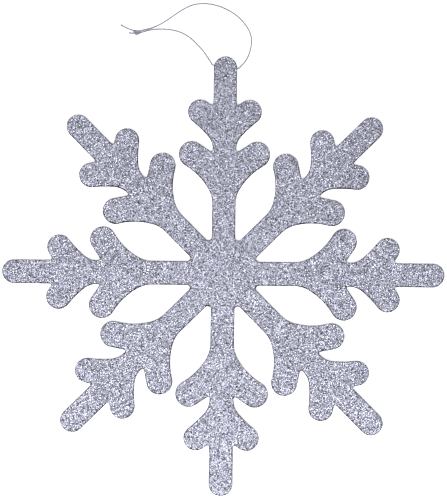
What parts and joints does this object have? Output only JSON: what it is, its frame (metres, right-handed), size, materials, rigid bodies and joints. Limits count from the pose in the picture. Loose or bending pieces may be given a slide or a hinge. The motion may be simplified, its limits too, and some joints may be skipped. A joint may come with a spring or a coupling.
{
  "type": "snowflake star",
  "caption": "Flat glittered snowflake star: round-ended arms with swept side branches, a punched hanging hole and a thin knotted cord loop.",
  "frame": {"origin": "centre of the star, on the back face that it lies on", "axes": "+Z out of the front face; +Y along the arm with the hanging hole; +X to the right seen from the front"},
  "size_m": [0.3, 0.3385, 0.005],
  "materials": {
    "glitter": "silver glitter flakes glued all over, faceted and sparkling",
    "liner": "smooth white card",
    "core": "grey board, cut edge",
    "cord": "thin twisted silver-grey thread with a soft sheen"
  },
  "bodies": {
    "star": {"core_board": "core", "back_liner": "liner", "front_liner": "liner", "back_glitter_coat": "glitter", "front_glitter_coat": "glitter", "edge_glitter_band": "glitter"},
    "hanging_loop": {"cord_threaded_run": "cord", "cord_lower_run": "cord", "cord_upper_run": "cord", "cord_knot": "cord", "cord_tail": "cord", "cord_tail_short": "cord"}
  },
  "joints": [
    {"name": "loop_lift", "type": "hinge", "parent": "star", "child": "hanging_loop", "pos_m": [0, 0.1431, 0.0025], "axis": [0.9914, -0.1305, 0], "range_deg": [0, 160]}
  ]
}
